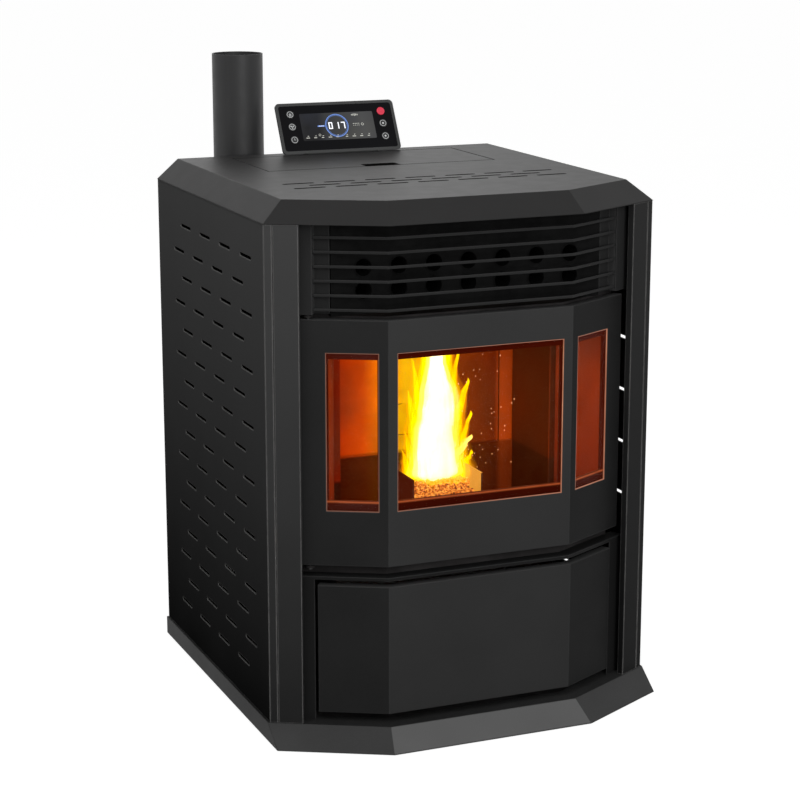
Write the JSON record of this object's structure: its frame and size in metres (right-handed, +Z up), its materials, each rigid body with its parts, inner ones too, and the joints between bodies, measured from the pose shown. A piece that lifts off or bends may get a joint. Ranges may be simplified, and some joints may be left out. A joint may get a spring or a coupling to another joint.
{
  "type": "pellet stove",
  "caption": "Free-standing wood-pellet stove with a bay front, windowed fire door, ash drawer, top hopper lid, slotted sides, rear flue pipe and tilted control panel.",
  "frame": {"origin": "on the floor, at the middle of the whole footprint with plinth and flue pipe", "axes": "+Z up, the fire door looks along -Y, +X to the right as seen from the front"},
  "size_m": [0.6, 0.719, 0.924],
  "materials": {
    "black_coat": "satin",
    "cap_coat": "satin",
    "side_coat": "matte",
    "stove_paint": "matte",
    "bright_steel": "satin",
    "flue_paint": "satin",
    "firebrick": "matte",
    "pot_iron": "rough",
    "fire_glass": "clear",
    "rope": "woven",
    "gloss_black": "gloss",
    "matte_black": "matte",
    "red_button": "gloss"
  },
  "bodies": {
    "casing": {"base_plinth": "black_coat", "floor_pan": "stove_paint", "levelling_feet": "matte_black", "left_side_panel": "side_coat", "right_side_panel": "side_coat", "rear_panel": "stove_paint", "top_cap": "cap_coat", "left_pillar": "side_coat", "right_pillar": "side_coat", "grille_frame": "black_coat", "grille_blades": "black_coat", "lower_frame": "black_coat", "firebox_shell": "stove_paint", "firebox_front_frame": "stove_paint", "back_liner": "firebrick", "side_liners": "firebrick", "baffle": "firebrick", "burn_pot": "pot_iron", "igniter": "bright_steel", "firebox_supports": "stove_paint", "drawer_rails": "bright_steel", "exchanger_box": "stove_paint", "exchanger_tubes": "bright_steel", "air_duct": "bright_steel", "smoke_duct": "bright_steel", "hinge_brackets": "stove_paint", "door_hinge_pins": "bright_steel", "latch_keeper": "bright_steel", "hopper": "bright_steel", "hopper_grid": "bright_steel", "lid_hinge_brackets": "bright_steel", "auger_tube": "bright_steel", "auger_motor": "stove_paint", "smoke_fan_housing": "bright_steel", "room_fan_housing": "bright_steel", "flue_tee": "flue_paint", "tee_cap": "flue_paint", "flue_pipe": "flue_paint", "air_intake_pipe": "bright_steel", "power_inlet": "matte_black", "control_housing": "matte_black", "control_face": "gloss_black"},
    "fire_door": {"door_skin": "black_coat", "door_inner_frame": "stove_paint", "door_glass": "fire_glass", "door_gasket": "rope"},
    "door_latch": {"latch_hook": "bright_steel"},
    "ash_drawer": {"drawer_front": "black_coat", "ash_pan": "bright_steel"},
    "hopper_lid": {"hopper_lid": "cap_coat"},
    "auger": {"auger_screw": "bright_steel"},
    "exhaust_impeller": {"smoke_impeller": "bright_steel"},
    "room_fan": {"room_rotor": "bright_steel"},
    "power_rocker": {"power_rocker": "matte_black"},
    "mode_button": {"button_mode": "gloss_black"},
    "fan_button": {"button_fan": "gloss_black"},
    "timer_button": {"button_timer": "gloss_black"},
    "power_button": {"button_power": "red_button"},
    "up_button": {"button_up": "gloss_black"},
    "down_button": {"button_down": "gloss_black"}
  },
  "joints": [
    {"name": "door_hinge", "type": "hinge", "parent": "casing", "child": "fire_door", "pos_m": [-0.23538, -0.24597, 0.433], "axis": [0, 0, -1], "range_deg": [0, 90]},
    {"name": "latch_turn", "type": "hinge", "parent": "fire_door", "child": "door_latch", "pos_m": [0.24421, -0.24127, 0.488], "axis": [0.8828, 0.4698, 0], "range_deg": [-40, 0]},
    {"name": "drawer_slide", "type": "slide", "parent": "casing", "child": "ash_drawer", "axis": [0, -1, 0], "range_m": [0, 0.24]},
    {"name": "lid_hinge", "type": "hinge", "parent": "casing", "child": "hopper_lid", "pos_m": [0, 0.2145, 0.765], "axis": [-1, 0, 0], "range_deg": [0, 80]},
    {"name": "auger_turn", "type": "hinge", "parent": "casing", "child": "auger", "pos_m": [0, 0.1705, 0.255], "axis": [0, -0.6508, 0.7593], "continuous": true},
    {"name": "impeller_spin", "type": "hinge", "parent": "casing", "child": "exhaust_impeller", "pos_m": [-0.144, 0.1505, 0.137], "axis": [1, 0, 0], "continuous": true},
    {"name": "room_fan_spin", "type": "hinge", "parent": "casing", "child": "room_fan", "pos_m": [0.155, 0.0499, 0.15], "axis": [1, 0, 0], "continuous": true},
    {"name": "rocker_tilt", "type": "hinge", "parent": "casing", "child": "power_rocker", "pos_m": [0.247, 0.2545, 0.12], "axis": [1, 0, 0], "range_deg": [-12, 0]},
    {"name": "mode_press", "type": "slide", "parent": "casing", "child": "mode_button", "axis": [0, 0.8746, -0.4848], "range_m": [0, 0.0008], "stiffness_N_per_m": 400, "springref_m": -0.0005},
    {"name": "fan_press", "type": "slide", "parent": "casing", "child": "fan_button", "axis": [0, 0.8746, -0.4848], "range_m": [0, 0.0008], "stiffness_N_per_m": 400, "springref_m": -0.0005},
    {"name": "timer_press", "type": "slide", "parent": "casing", "child": "timer_button", "axis": [0, 0.8746, -0.4848], "range_m": [0, 0.0008], "stiffness_N_per_m": 400, "springref_m": -0.0005},
    {"name": "power_press", "type": "slide", "parent": "casing", "child": "power_button", "axis": [0, 0.8746, -0.4848], "range_m": [0, 0.0008], "stiffness_N_per_m": 400, "springref_m": -0.0005},
    {"name": "up_press", "type": "slide", "parent": "casing", "child": "up_button", "axis": [0, 0.8746, -0.4848], "range_m": [0, 0.0008], "stiffness_N_per_m": 400, "springref_m": -0.0005},
    {"name": "down_press", "type": "slide", "parent": "casing", "child": "down_button", "axis": [0, 0.8746, -0.4848], "range_m": [0, 0.0008], "stiffness_N_per_m": 400, "springref_m": -0.0005}
  ]
}
